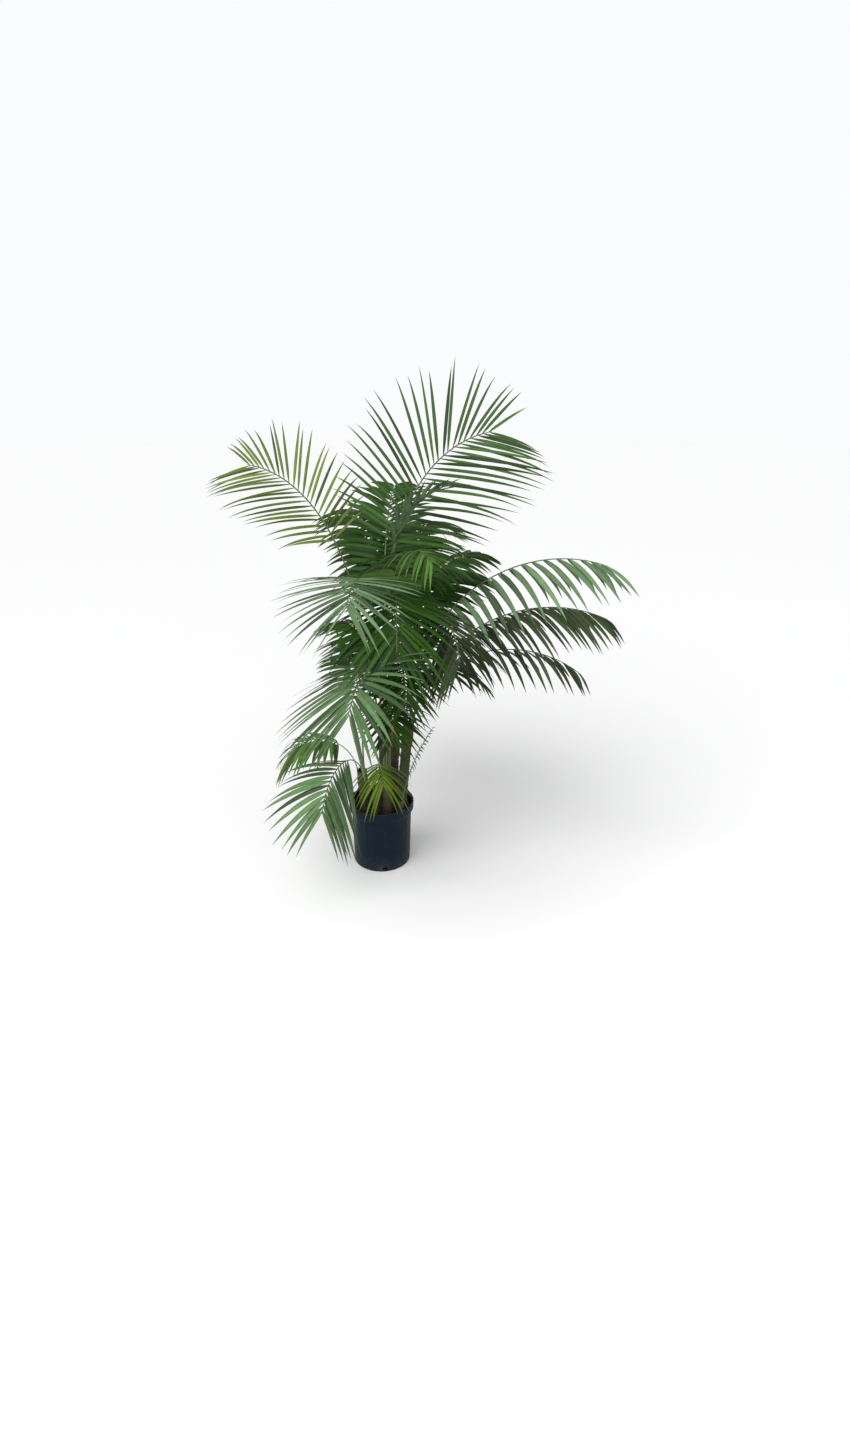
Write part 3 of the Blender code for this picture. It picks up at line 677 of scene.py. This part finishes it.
# rise: elevation at the foot; bend: how far it has dropped at the tip, along the
# frond to the power given; sway: turn in plan; bare: share of the length that is stalk;
# leaf and broad: the longest leaflet's length and width; lift and droop: how far the
# leaflets stand up, and hang; roll: how far the blade is turned about its rib; last: the
# last leaflet's length against the longest; open: angle of the first ones to the rib
Frond = namedtuple("Frond", "stem heading rise bend power sway length bare leaf broad pairs lift droop "
                            "tone roll last open", defaults=(0, 0.45, 84))
# Some tones stand in for light: the darkest and the near-black grey-green are painted shade on inner,
# back, low and right-hand fronds, and the pale grey-greens are partly a painted sheen on front fronds
FRONDS = {
    "top_right": Frond("tall", 2, 90, 81, 3.16, -3, 1.47, 0.57, 0.5, 0.0135, 25, 5, 0.07, "forest",
                       roll=-60, last=0.36, open=78),
    "top_left": Frond("tall", 168, 82, 78, 3.0, -6, 1.38, 0.62, 0.345, 0.0115, 21, 8, 0.1, "olive",
                      roll=50, last=0.5, open=68),
    "top_back": Frond("tall", 84, 87, 80, 3.0, 0, 1.2, 0.53, 0.25, 0.02, 26, 12, 0.18, "deep"),
    "spear": Frond("tall", -50, 90, 78, 3.96, 13, 1.2, 0.7, 0.21, 0.04, 8, 4, 0.05, "silver",
                   last=0.6, open=20),
    "crown_front": Frond("tall", -62, 88, 115, 3.2, 0, 1.12, 0.56, 0.25, 0.026, 25, 12, 0.42, "green"),
    "crown_right": Frond("tall", -20, 86, 96, 2.8, 50, 0.99, 0.57, 0.23, 0.024, 24, 5, 0.4, "deep"),
    "mid_left": Frond("tall", -99, 88, 125, 2.09, 3, 1.2, 0.74, 0.31, 0.019, 20, 4, 0.12, "silver",
                      last=0.66),
    "right_upper": Frond("right", -3, 90, 110, 1.25, 3, 1.3, 0.44, 0.29, 0.023, 15, -52, 0.3, "silver",
                         roll=5, last=0.52, open=86),
    "right_mid": Frond("right", -8, 82, 108, 1.15, 9, 1.13, 0.37, 0.245, 0.019, 26, -40, 0.3, "dusk",
                       roll=-5, open=66),
    "right_low": Frond("right", -20, 83, 123, 1.05, 15, 0.96, 0.36, 0.185, 0.017, 15, -42, 0.3, "dusk",
                       open=66),
    "right_inner": Frond("right", -73, 86, 175, 2.5, 11, 1.03, 0.6, 0.25, 0.018, 24, -15, 0.4, "dusk"),
    "centre": Frond("right", -98, 85, 162, 2.4, 11, 1.16, 0.64, 0.3, 0.034, 24, 0, 0.25, "deep",
                    last=0.6),
    "centre_back": Frond("right", 62, 86, 120, 2.1, 0, 0.96, 0.48, 0.28, 0.03, 24, 0, 0.35, "deep"),
    "back_left_upper": Frond("back", 116, 87, 112, 2.6, 0, 1.33, 0.48, 0.24, 0.024, 28, 0, 0.44, "deep"),
    "back_upper": Frond("back", 96, 86, 122, 2.3, 0, 1.33, 0.48, 0.31, 0.024, 29, 0, 0.42, "green"),
    "back_right_upper": Frond("back", 74, 86, 118, 2.5, 0, 1.3, 0.48, 0.26, 0.024, 29, 0, 0.42, "forest"),
    "back_middle": Frond("back", 83, 85, 136, 1.55, 0, 0.8, 0.46, 0.26, 0.026, 21, 0, 0.32, "forest"),
    "back_inner": Frond("back", 158, 86, 130, 2.4, -30, 0.76, 0.51, 0.18, 0.028, 23, 0, 0.38, "deep"),
    "low_left": Frond("front", -80, 86, 139, 1.92, -26, 1.16, 0.69, 0.34, 0.021, 20, 4, 0.12, "sage",
                      roll=-22, last=0.66),
    "low_centre": Frond("front", -63, 90, 147, 2.33, -24, 0.97, 0.62, 0.21, 0.026, 20, 0, 0.22, "deep"),
    "low_right": Frond("front", 15, 87, 140, 2.2, 0, 0.77, 0.46, 0.21, 0.018, 16, 0, 0.3, "deep"),
    "low_front": Frond("front", -75, 89, 146, 1.96, -13, 0.77, 0.56, 0.18, 0.024, 18, 0, 0.25, "deep"),
    "left_back": Frond("left", 104, 84, 130, 2.0, 0, 0.74, 0.46, 0.19, 0.024, 19, 0, 0.36, "forest"),
    "foot_left": Frond("left", -117, 80, 152, 0.94, 8, 0.49, 0.38, 0.28, 0.024, 14, -40, 0.3, "sage",
                       roll=36, last=0.58),
    "left_low": Frond("left", -170, 82, 140, 1.3, 0, 0.43, 0.43, 0.2, 0.026, 17, 0, 0.35, "green"),
    "back_low": Frond("back", 112, 83, 135, 1.4, 0, 0.8, 0.44, 0.28, 0.026, 21, 0, 0.32, "forest"),
    "foot_front": Frond("sprout", -81, 82, 156, 1.9, 6, 0.33, 0.5, 0.155, 0.028, 11, -10, 0.55, "lime",
                        last=0.6),
    "foot_right": Frond("shoot", 10, 80, 24, 1.0, 0, 0.38, 0.36, 0.048, 0.013, 15, 0, 0.4, "dusk"),
}


def fronds_of(stem_name):
    """Names of the fronds that spring from a stem."""
    return [name for name, frond in FRONDS.items() if frond.stem == stem_name]


def foot_turns():
    """Where each frond stands on its stem's top: dealt round it in order of heading."""
    turns = {}
    for stem_name in STEMS:
        own = sorted(fronds_of(stem_name), key=lambda name: FRONDS[name].heading)
        spread = 360 / len(own)
        offset = sum(FRONDS[name].heading - spread * k for k, name in enumerate(own)) / len(own)
        for k, name in enumerate(own):
            turns[name] = radians(spread * k + offset)
    return turns


class Rib:
    """A frond's curved centre line: place, direction, right and up at any share of it."""

    def __init__(self, frond, turn):
        stem = STEMS[frond.stem]
        alone = len(fronds_of(frond.stem)) == 1
        ring = 0.0 if alone else FOOT_RING * STEM_TOP_RADIUS * stem.girth
        self.frond = frond
        self.shares = np.linspace(0.0, 1.0, PATH_STEPS + 1)
        middles = (self.shares[1:] + self.shares[:-1]) / 2
        steps = np.array([self.along(share) for share in middles]) * frond.length / PATH_STEPS
        foot = np.array((stem.top_x + ring * cos(turn), stem.top_y + ring * sin(turn),
                         stem.top_z + FIT))
        self.path = np.vstack([foot, foot + np.cumsum(steps, axis=0)])

    def heading(self, share):
        return radians(self.frond.heading + self.frond.sway * share)

    def along(self, share):
        heading = self.heading(share)
        rise = radians(self.frond.rise - self.frond.bend * share ** self.frond.power)
        return np.array((cos(rise) * cos(heading), cos(rise) * sin(heading), sin(rise)))

    def place(self, share):
        return np.array([np.interp(share, self.shares, self.path[:, axis]) for axis in range(3)])

    def sides(self, share):
        """Right and up of the blade, rolled about the rib over its first half."""
        heading = self.heading(share)
        right = np.array((sin(heading), -cos(heading), 0.0))
        up = np.cross(right, self.along(share))
        roll = radians(self.frond.roll) * min(1.0, share / ROLL_DONE)
        return right * cos(roll) + up * sin(roll), up * cos(roll) - right * sin(roll)

    def width(self, share):
        width = RIB_FOOT_WIDTH + (RIB_TIP_WIDTH - RIB_FOOT_WIDTH) * share ** RIB_THINNING
        return width * self.frond.length ** 0.5

    def ring(self, share):
        """The rib's outline at a share of it, swollen where it clasps the stem."""
        right, up = self.sides(share)
        swell = 1 + CLASP_SWELL * exp(-(share * self.frond.length / CLASP_LENGTH) ** 2)
        fine = 1 - RIB_TIP_LOSS * max(0.0, share - RIB_TIP) / RIB_TIP_LENGTH
        width = self.width(share) * swell * fine
        centre = self.place(share)
        return [centre + width * (x * right + y * up) for x, y in RIB_OUTLINE]


def make_stalk_finish():
    """Green stalk, browned at the foot and streaked along."""
    finish, tree, shader = new_finish("green_stalk", roughness=0.5)
    age = add_node(tree, "Attribute", {"attribute_name": "outward"}).outputs["Fac"]
    young = ramped(tree, age, 0.0, STALK_SHARE)
    toned = mix_colours(tree, young, STALK_FOOT, STALK_COLOUR)
    dress(tree, shader, plant_fibre, (None, 0.35, 0.0008), Color=toned, Streak_Color=STALK_STREAK,
          Streak_Amount=0.45, Fineness=20.0, Clean_Roughness=0.42)
    return finish


stalk_finish = make_stalk_finish()
turns = foot_turns()
ribs = {name: Rib(frond, turns[name]) for name, frond in FRONDS.items()}
cad_nodes = set(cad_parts)


def nodes_of(frond_names, *parts):
    """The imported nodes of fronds: each whole, or by the parts given."""
    wanted = ["frond_" + name + part for name in frond_names for part in ("", *parts)]
    return [node for node in wanted if node in cad_nodes]


rib_solids = {}
for stem_name in STEMS:
    points, faces, grain, outward = [], [], [], []
    own = fronds_of(stem_name)
    for name in own:
        rib = ribs[name]
        shares = [(k / RIB_STATIONS) ** STATION_CROWDING for k in range(RIB_STATIONS + 1)]
        rings = [(rib.ring(share), share * rib.frond.length) for share in shares]
        rib_points, rib_faces, rib_grain = tube(rings, len(RIB_OUTLINE))
        rib_solids[name] = BVHTree.FromPolygons([tuple(p) for p in rib_points], rib_faces)
        faces += [tuple(k + len(points) for k in face) for face in rib_faces]
        points += rib_points
        grain += rib_grain
        outward += [share for share in shares for _ in RIB_OUTLINE] + [0.0, 1.0]
    stalks = add_piece("stalks_of_" + stem_name, points, faces, stalk_finish)
    write_grain(stalks, grain)
    stalks.data.attributes.new("outward", "FLOAT", "POINT").data.foreach_set("value", outward)
    stalks.data.set_sharp_from_angle(angle=radians(50))
    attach(stalks, "root")
    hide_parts(*nodes_of(own, "_stalk", "_blade"))


# The sheaths: old leaf bases, dried to brown fibrous sleeves that wrap each stem's top and
# hold its stalks together. Their upper edges are torn into points.
SHEATH_SIDES = 40
SHEATH_ROWS = 22
SHEATH_BELOW = 0.085
SHEATH_ABOVE = 0.034
SHEATH_MOST = 0.45
SHEATH_SHELL = 0.0016
SHEATH_HUG = 1.07
SHEATH_OPENING = 0.1
SHEATH_SWELL = 0.003
SWELLS_UP_TO = 0.75
SHEATH_FIBRE = 0.0007
FIBRE_ROUND = 9
FIBRE_UP = 16
# A thin stem's least share of a full sleeve's length, below and above the stem's top
LEAST_BELOW = 0.4
LEAST_ABOVE = 0.3
# The torn edge: how high it stands at least, and how fine and how deep its tears are
TORN_LEAST = 0.45
TORN_MIDDLE = 0.5
TORN_ROUND = 1.6
TEARS = ((1.7, 0.5), (6.0, 0.35))
SHEATH_COLOUR = (0.078, 0.058, 0.03, 1.0)
SHEATH_DARK = (0.02, 0.016, 0.009, 1.0)


def eased(least, girth):
    """A share that follows the girth down from 1, but never under the least."""
    return least + (1 - least) * girth


def sheath_rings(stem, chance):
    """Rings up the outside of a sleeve, over its torn edge and down the inside."""
    foot = np.array((stem.x, stem.y, SOIL_TOP))
    tip = np.array((stem.top_x, stem.top_y, stem.top_z))
    lean = (tip - foot) / (stem.top_z - SOIL_TOP)
    below = min(SHEATH_BELOW * eased(LEAST_BELOW, stem.girth), (stem.top_z - SOIL_TOP) * SHEATH_MOST)
    above = SHEATH_ABOVE * eased(LEAST_ABOVE, stem.girth)
    shift = chance.uniform(0.0, 50.0)
    rings = []
    for inside in (False, True):
        rows = range(SHEATH_ROWS + 1)
        for row in reversed(rows) if inside else rows:
            share = row / SHEATH_ROWS
            ring = []
            for _, x, y in round_about(SHEATH_SIDES):
                way = Vector((x * TORN_ROUND, y * TORN_ROUND, shift))
                torn = sum((depth * noise.noise(way * fine) for fine, depth in TEARS), TORN_MIDDLE)
                height = -below + share * (below + above * (TORN_LEAST + torn))
                swell = sin(pi * min(1.0, share / SWELLS_UP_TO)) * SHEATH_SWELL
                rough = Vector((x * FIBRE_ROUND, y * FIBRE_ROUND, height * FIBRE_UP + shift))
                fibre = SHEATH_FIBRE * noise.noise(rough)
                hug = STEM_TOP_RADIUS * stem.girth * (SHEATH_HUG + SHEATH_OPENING * share)
                radius = hug + (swell + fibre) * stem.girth - (SHEATH_SHELL if inside else 0.0)
                centre = tip + lean * height
                ring.append(centre + radius * np.array((x, y, 0.0)))
            rings.append((ring, share * (below + above)))
    return rings


sheath_finish = make_fibre_finish("dried_sheath", SHEATH_COLOUR, SHEATH_DARK, amount=0.8,
                                  fineness=60.0, roughness=0.82, strength=0.9)
sheath_points, sheath_faces, sheath_grain = [], [], []
sheath_chance = random.Random(33)
for stem in STEMS.values():
    points, faces, grain = tube(sheath_rings(stem, sheath_chance), SHEATH_SIDES)
    capless = len(faces) - 2 * SHEATH_SIDES
    sheath_faces += [tuple(k + len(sheath_points) for k in face) for face in faces[:capless]]
    sheath_grain += grain[:4 * capless]
    sheath_points += points[:-2]
sheaths = add_piece("leaf_sheaths", sheath_points, sheath_faces, sheath_finish)
write_grain(sheaths, sheath_grain)
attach(sheaths, "root")


# The leaflets: long, pointed ribbons in two rows along each midrib, pleated to a roof shape
# where they join it and flattening outward. They are waxy above, with fine parallel veins.
LEAF_STOUTEST = 0.13
LEAF_CROWDING = 1.55
LEAF_ANGLE_TIP = 28
LEAF_CLOSING = 1.3
LEAF_JITTER = 4
PAIR_JITTER = 0.14
PAIR_STAGGER = 0.12
LENGTH_CHANCES = (0.9, 1.0)
DROOP_CHANCES = (0.85, 1.12)
HOOK_CHANCES = (0.01, 0.07)
WIDTH_CHANCES = (0.88, 1.08)
LIFT_EASING = 0.8
LEAF_PEAK = 0.48
LEAF_FIRST = 0.66
LEAF_STATIONS = (0.0, 0.05, 0.12, 0.21, 0.31, 0.42, 0.53, 0.64, 0.74, 0.83, 0.91, 0.965)
FOLD_AT_ROOT = 42
FOLD_OUTWARD = 9
TWIST_MOST = 18
FOLD_FADE = 0.1
LEAF_NECK = 0.34
LEAF_WIDE_FROM = 0.22
LEAF_TAPER_FROM = 0.4
LEAF_TAPER = 1.8
ROOT_OFF_MIDDLE = 0.25
GROUND_GAP = 0.012
POT_GAP = 0.004
LEAF_CUTS = (1.0, 0.86, 0.72, 0.56)
DRY_TIP_SHARE = 0.07
DRY_FACES = 6
LEAF_TONES = {
    # silver: pale grey-green, partly the leaflets' own colour and partly a painted sheen of sky
    # reflection on the front fronds
    "silver": (0.094, 0.16, 0.074),
    # sage: pale grey-green, partly the leaflets' own colour and partly a painted sheen on the front
    # fronds
    "sage": (0.074, 0.136, 0.053),
    "green": (0.056, 0.128, 0.02),
    "forest": (0.028, 0.074, 0.01),
    # deep: the leaflets' darkest green, partly their own colour and partly painted shade on the inner,
    # back and low fronds under the others
    "deep": (0.016, 0.056, 0.002),
    # A near-black grey-green: painted shade on the right-hand fronds, away from the key light
    "dusk": (0.024, 0.04, 0.012),
    "olive": (0.095, 0.138, 0.02),
    "lime": (0.088, 0.15, 0.008),
}
# Painted light and shade on the leaflets: how often each copy of a tone is dealt, and its brightness.
# light is a painted highlight, shaded a painted shadow, and plain the tone itself
LEAF_PAINTED_LIGHT = {"plain": (0.54, 1.0), "light": (0.22, 1.38), "shaded": (0.24, 0.5)}
VEIN_COUNT = 11
DRY_TIP = (0.14, 0.102, 0.048)
# A midrib's colour: so many times the leaflet's own, and a little lighter than black
MIDRIB_PALER = 1.7
MIDRIB_LEAST = 0.03


def build_blade_group():
    """Leaflet surface: parallel veins, a paler midrib and a faint mottle."""
    group, given, result = new_group("leaflet veins", ("Color", "Midrib Color"), ("Clean Roughness",))
    along = add_node(group, "UVMap", {"uv_map": "grain"}).outputs["UV"]
    across = add_node(group, "SeparateXYZ", Vector=along).outputs["X"]
    off_middle = calculated(group, "ABSOLUTE", calculated(group, "SUBTRACT", across, 0.5))
    midrib = ramped(group, off_middle, 0.075, 0.035)
    ridges = calculated(group, "SINE", times(group, across, 2 * pi * VEIN_COUNT))
    ridges = ramped(group, ridges, -1.0, 1.0)
    place = add_node(group, "TexCoord").outputs["Object"]
    mottle = mottled(group, place, 38.0, 5.0, 0.6)
    light = ramped(group, mottle, 0.3, 0.7, 0.84, 1.16)
    toned = mix_colours(group, 1.0, given["Color"], light, "MULTIPLY")
    pale = given["Midrib Color"]
    veined = mix_colours(group, times(group, ridges, 0.16), toned, pale)
    colour = mix_colours(group, times(group, midrib, 0.55), veined, pale)
    dulled = ramped(group, mottle, 0.3, 0.7, -0.05, 0.09)
    rough = plus(group, given["Clean Roughness"], dulled)
    height = plus(group, times(group, ridges, 0.3), midrib)
    return give_out(group, result, Color=colour, Roughness=rough, Height=height)


leaflet_veins = build_blade_group()


def make_leaf_finish(name, colour, roughness):
    """One leaflet material: a tone in its plain copy, its painted-light copy or its painted-shade copy,
    or the dry tip.
    """
    finish, tree, shader = new_finish(name, roughness, gloss=0.16)
    midrib = tuple(min(1.0, MIDRIB_PALER * c + MIDRIB_LEAST) for c in colour)
    dress(tree, shader, leaflet_veins, (None, 0.35, 0.0005), Color=(*colour, 1.0),
          Midrib_Color=(*midrib, 1.0), Clean_Roughness=roughness)
    return finish


# Each tone as a plain copy, a lighter copy of painted light and a darker copy of painted shade, then the
# dry tip
leaf_finishes = {}
for tone, colour in LEAF_TONES.items():
    for shade, (_, brightness) in LEAF_PAINTED_LIGHT.items():
        shaded = tuple(brightness * c for c in colour)
        name = "leaflet_" + tone + "_" + shade
        leaf_finishes[tone, shade] = make_leaf_finish(name, shaded, roughness=0.42)
leaf_finishes["dry"] = make_leaf_finish("leaflet_dry_tip", DRY_TIP, roughness=0.7)


def unit(vector):
    return vector / np.linalg.norm(vector)


def leaf_reach(frond, out):
    """A leaflet's length against the longest: shorter at the blade's foot and tip."""
    if out < LEAF_PEAK:
        return LEAF_FIRST + (1 - LEAF_FIRST) * sin(pi / 2 * out / LEAF_PEAK)
    return 1 - (1 - frond.last) * ((out - LEAF_PEAK) / (1 - LEAF_PEAK)) ** 2


def leaf_fullness(where):
    """Width at a share of a leaflet's length against its widest."""
    opening = LEAF_NECK + (1 - LEAF_NECK) * sin(pi / 2 * min(1.0, where / LEAF_WIDE_FROM))
    tapering = max(0.0, (where - LEAF_TAPER_FROM) / (1 - LEAF_TAPER_FROM))
    return opening * (1 - tapering ** LEAF_TAPER)


class Leaflet:
    """One leaflet, by the rule that places it on its rib, and its own small chances."""

    def __init__(self, rib, out, side, chance):
        frond = rib.frond
        share = frond.bare + (1 - frond.bare) * out
        right, self.up = rib.sides(share)
        self.along = rib.along(share)
        angle = frond.open + (LEAF_ANGLE_TIP - frond.open) * out ** LEAF_CLOSING
        angle = radians(angle + chance.uniform(-LEAF_JITTER, LEAF_JITTER))
        lift = radians(frond.lift * (1 - LIFT_EASING * out) + chance.uniform(-LEAF_JITTER, LEAF_JITTER))
        level = self.along * cos(angle) + side * right * sin(angle)
        pitch = frond.length * (1 - frond.bare) / frond.pairs
        self.root = rib.place(share) + side * right * rib.width(share) * ROOT_OFF_MIDDLE
        self.way = level * cos(lift) + self.up * sin(lift)
        self.length = frond.leaf * leaf_reach(frond, out) * chance.uniform(*LENGTH_CHANCES)
        self.droop = frond.droop * chance.uniform(*DROOP_CHANCES)
        self.hook = chance.uniform(*HOOK_CHANCES)
        self.twist = radians(chance.uniform(-TWIST_MOST, TWIST_MOST))
        self.width = min(frond.broad, LEAF_CROWDING * pitch * sin(angle), self.length * LEAF_STOUTEST)
        self.width *= chance.uniform(*WIDTH_CHANCES)
        # The draw that deals the leaflet its painted-light, painted-shade or plain copy of its tone
        self.shade = chance.random()
        self.dry = chance.random()

    def rows(self):
        """Three points across at each station, then the tip."""
        down = np.array((0.0, 0.0, -self.length))
        points = []
        for where in LEAF_STATIONS:
            centre = self.root + self.way * self.length * where
            centre = centre + down * (self.droop * where ** 2 + self.hook * where ** 5)
            falling = 2 * self.droop * where + 5 * self.hook * where ** 4
            tangent = unit(self.way * self.length + down * falling)
            across = unit(self.along - tangent * (self.along @ tangent))
            normal = np.cross(across, tangent)
            if normal @ self.up < 0:
                across, normal = -across, -normal
            turn = self.twist * where
            across, normal = (across * cos(turn) + normal * sin(turn),
                              normal * cos(turn) - across * sin(turn))
            fold = radians(FOLD_OUTWARD + (FOLD_AT_ROOT - FOLD_OUTWARD) * exp(-where / FOLD_FADE))
            half = self.width / 2 * leaf_fullness(where)
            margin = across * half * cos(fold)
            drop = normal * half * sin(fold)
            points += [centre - margin - drop, centre, centre + margin - drop]
        points.append(self.root + self.way * self.length + down * (self.droop + self.hook))
        return points


ROWS = len(LEAF_STATIONS)
leaf_faces = []
for row in range(ROWS - 1):
    low = 3 * row
    leaf_faces += [(low, low + 1, low + 4, low + 3), (low + 1, low + 2, low + 5, low + 4)]
leaf_faces += [(3 * ROWS - 3, 3 * ROWS - 2, 3 * ROWS), (3 * ROWS - 2, 3 * ROWS - 1, 3 * ROWS)]
leaf_triangles = []
for face in leaf_faces:
    leaf_triangles += [face[:3], (face[0], face[2], face[3])] if len(face) == 4 else [face]
# Share across and share along at each corner of those faces
leaf_grain = [((corner % 3) / 2, LEAF_STATIONS[corner // 3]) if corner < 3 * ROWS else (0.5, 1.0)
              for face in leaf_faces for corner in face]


def has_room(points, own):
    """Whether a leaflet stays off the ground, the pot and other fronds' ribs."""
    for x, y, z in points:
        if z < GROUND_GAP:
            return False
        if z < POT_HEIGHT + POT_GAP and x ** 2 + y ** 2 < (POT_RIM_RADIUS + POT_GAP) ** 2:
            return False
    tree = BVHTree.FromPolygons([tuple(p) for p in points], leaf_triangles)
    return not any(tree.overlap(solid) for name, solid in rib_solids.items() if name != own)


def fitted(leaf, own):
    """The points of a leaflet at the longest cut that has room, or None."""
    full = leaf.length
    for cut in LEAF_CUTS:
        leaf.length = full * cut
        points = leaf.rows()
        if has_room(points, own):
            return points
    return None


def dealt_painted_light(chance_drawn):
    """Which copy of a tone a number from 0 to 1 falls on: painted light, painted shade or plain."""
    for shade, (share, _) in LEAF_PAINTED_LIGHT.items():
        if chance_drawn < share:
            return shade
        chance_drawn -= share
    return "plain"


leaf_chance = random.Random(7)
for stem_name in STEMS:
    own = fronds_of(stem_name)
    tones = {FRONDS[name].tone for name in own}
    keys = [key for key in leaf_finishes if key == "dry" or key[0] in tones]
    points, faces, grain, shades = [], [], [], []
    for name in own:
        frond = FRONDS[name]
        for pair in range(frond.pairs):
            for side in (-1, 1):
                shift = leaf_chance.uniform(-PAIR_JITTER, PAIR_JITTER)
                out = (pair + 0.5 + shift + PAIR_STAGGER * side) / frond.pairs
                leaf = Leaflet(ribs[name], min(1.0, max(0.0, out)), side, leaf_chance)
                leaf_points = fitted(leaf, name)
                if leaf_points is None:
                    continue
                faces += [tuple(len(points) + corner for corner in face) for face in leaf_faces]
                points += leaf_points
                grain += [(across, where * leaf.length) for across, where in leaf_grain]
                # Each face takes its tone in the dealt copy of painted light or shade; a dry tip's last
                # faces take the dry colour
                dry = DRY_FACES if leaf.dry < DRY_TIP_SHARE else 0
                shades += [keys.index((frond.tone, dealt_painted_light(leaf.shade)))] * (len(leaf_faces) - dry)
                shades += [keys.index("dry")] * dry
    leaflets = add_piece("leaflets_of_" + stem_name, points, faces,
                         *[leaf_finishes[key] for key in keys])
    leaflets.data.polygons.foreach_set("material_index", shades)
    write_grain(leaflets, grain)
    leaflets.data.set_sharp_from_angle(angle=radians(20))
    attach(leaflets, "root")
    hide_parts(*nodes_of(own, "_blade"))


# The studio: a plain pale floor under soft light from the left, the right and above
FLOOR_COLOUR = (0.985, 0.985, 0.98, 1.0)
SKY_COLOUR = (0.98, 0.99, 1.0, 1.0)
BACKDROP = 0.985
AMBIENT = 0.45
PLANT_MIDDLE = (0.0, 0.0, 1.1)
floor_shape = bmesh.new()
bmesh.ops.create_circle(floor_shape, cap_ends=True, segments=96, radius=30.0)
floor_mesh = mesh_of("studio_floor", floor_shape)
floor_finish, _, floor_shader = new_finish("pale_floor", roughness=0.9)
floor_shader.inputs["Base Color"].default_value = FLOOR_COLOUR
floor_mesh.materials.append(floor_finish)
add_object("studio_floor", floor_mesh)

world = bpy.data.worlds.new("studio")
world.use_nodes = True
sky = world.node_tree
backdrop = sky.nodes["Background"].inputs
seen = add_node(sky, "LightPath").outputs["Is Camera Ray"]
brightness = add_node(sky, "Mix", {"data_type": "FLOAT"}, i0=seen, i2=AMBIENT, i3=BACKDROP)
sky.links.new(brightness.outputs[0], backdrop["Strength"])
backdrop["Color"].default_value = SKY_COLOUR
scene.world = world
scene.view_settings.view_transform = "Standard"


def add_light(kind, name, place, softness, power):
    """A soft light aimed at the plant; softness is a panel's width or a sun's spread."""
    lamp = bpy.data.lights.new(name, kind)
    setattr(lamp, "angle" if kind == "SUN" else "size", softness)
    lamp.energy = power
    made = add_object(name, lamp)
    made.location = place
    made.rotation_euler = (Vector(place) - Vector(PLANT_MIDDLE)).to_track_quat("Z", "Y").to_euler()


add_light("SUN", "key_light", (-2.4, -3.2, 5.2), softness=radians(60), power=2.45)
add_light("AREA", "front_light", (1.6, -4.4, 2.6), softness=3.0, power=60.0)

# The camera looks down at the plant; its focal length is in pixels of the frame's height
FILM_HEIGHT = 36.0
FRAME_HEIGHT = 1440
FOCAL_LENGTH = 797
CAMERA_DOWN = 15.83
CAMERA_SHIFT = -0.075
CAMERA_PLACE = (0.194, -3.19, 2.06)
camera_data = bpy.data.cameras.new("camera")
camera_data.sensor_fit = "VERTICAL"
camera_data.sensor_height = FILM_HEIGHT
camera_data.lens = FILM_HEIGHT * FOCAL_LENGTH / FRAME_HEIGHT
camera_data.shift_y = CAMERA_SHIFT
camera = add_object("camera", camera_data)
camera.location = CAMERA_PLACE
camera.rotation_euler = (radians(90 - CAMERA_DOWN), 0.0, 0.0)
scene.camera = camera
